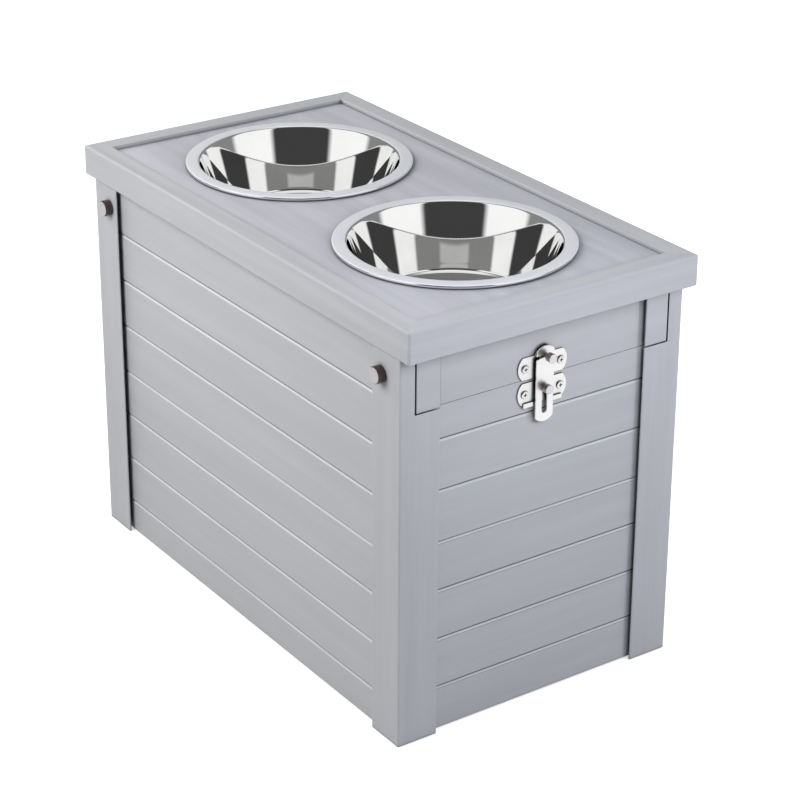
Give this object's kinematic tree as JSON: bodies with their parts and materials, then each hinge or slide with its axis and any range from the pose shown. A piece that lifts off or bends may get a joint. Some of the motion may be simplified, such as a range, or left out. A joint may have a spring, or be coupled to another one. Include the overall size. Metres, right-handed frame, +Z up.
{
  "type": "elevated dog feeder with storage",
  "caption": "Raised dog feeder: a plank storage box with a hinged lid that carries two lift-out steel bowls, closed by a strap latch on one end",
  "frame": {"origin": "middle of the base, where the posts stand on the floor", "axes": "+X points to the latch end, -Y is the front long side, +Z is up"},
  "size_m": [0.591, 0.3396, 0.4274],
  "materials": {
    "composite_board": "satin wood-plastic composite",
    "inner_board": "satin wood-plastic composite",
    "bowl_steel": "mirror-polished stainless steel",
    "pin_steel": "polished steel",
    "latch_steel": "bright nickel plate",
    "hinge_steel": "satin nickel plate"
  },
  "bodies": {
    "cabinet": {"back_floor_cleat": "inner_board", "back_lower_plank": "composite_board", "back_upper_plank": "composite_board", "front_floor_cleat": "inner_board", "front_lower_plank": "composite_board", "front_upper_plank": "composite_board", "hinge_back_base_leaf": "hinge_steel", "hinge_back_lock_pin": "pin_steel", "hinge_back_pin": "hinge_steel", "hinge_back_post": "composite_board", "hinge_base_screws": "hinge_steel", "hinge_end_lower_plank": "composite_board", "hinge_end_upper_plank": "composite_board", "hinge_front_base_leaf": "hinge_steel", "hinge_front_lock_pin": "pin_steel", "hinge_front_pin": "hinge_steel", "hinge_front_post": "composite_board", "latch_back_lock_pin": "pin_steel", "latch_back_post": "composite_board", "latch_base_plate": "latch_steel", "latch_base_screws": "latch_steel", "latch_end_lower_plank": "composite_board", "latch_end_upper_plank": "composite_board", "latch_front_lock_pin": "pin_steel", "latch_front_post": "composite_board", "latch_pivot_stud": "latch_steel", "store_floor": "inner_board"},
    "lid": {"hinge_back_lid_leaf": "hinge_steel", "hinge_back_skirt_block": "composite_board", "hinge_front_lid_leaf": "hinge_steel", "hinge_front_skirt_block": "composite_board", "hinge_lid_screws": "hinge_steel", "hinge_skirt_board": "composite_board", "latch_back_skirt_block": "composite_board", "latch_front_skirt_block": "composite_board", "latch_keeper_plate": "latch_steel", "latch_keeper_screws": "latch_steel", "latch_keeper_stud": "latch_steel", "latch_skirt_board": "composite_board", "lid_back_rail": "composite_board", "lid_deck": "composite_board", "lid_front_rail": "composite_board", "lid_hinge_rail": "composite_board", "lid_latch_rail": "composite_board", "lid_rib": "inner_board"},
    "left_bowl": {"left_bowl_floor": "bowl_steel", "left_bowl_wall": "bowl_steel", "left_bowl_rim": "bowl_steel"},
    "right_bowl": {"right_bowl_floor": "bowl_steel", "right_bowl_wall": "bowl_steel", "right_bowl_rim": "bowl_steel"},
    "latch_strap": {"latch_strap": "latch_steel"}
  },
  "joints": [
    {"name": "lid_hinge", "type": "hinge", "parent": "cabinet", "child": "lid", "pos_m": [-0.2806, 0, 0.3377], "axis": [0, -1, 0], "range_deg": [0, 110]},
    {"name": "latch_swing", "type": "hinge", "parent": "cabinet", "child": "latch_strap", "pos_m": [0.2775, 0, 0.3278], "axis": [-1, 0, 0], "range_deg": [0, 145]},
    {"name": "left_bowl_lift", "type": "slide", "parent": "lid", "child": "left_bowl", "axis": [0, 0, 1], "range_m": [0, 0.1]},
    {"name": "right_bowl_lift", "type": "slide", "parent": "lid", "child": "right_bowl", "axis": [0, 0, 1], "range_m": [0, 0.1]}
  ]
}
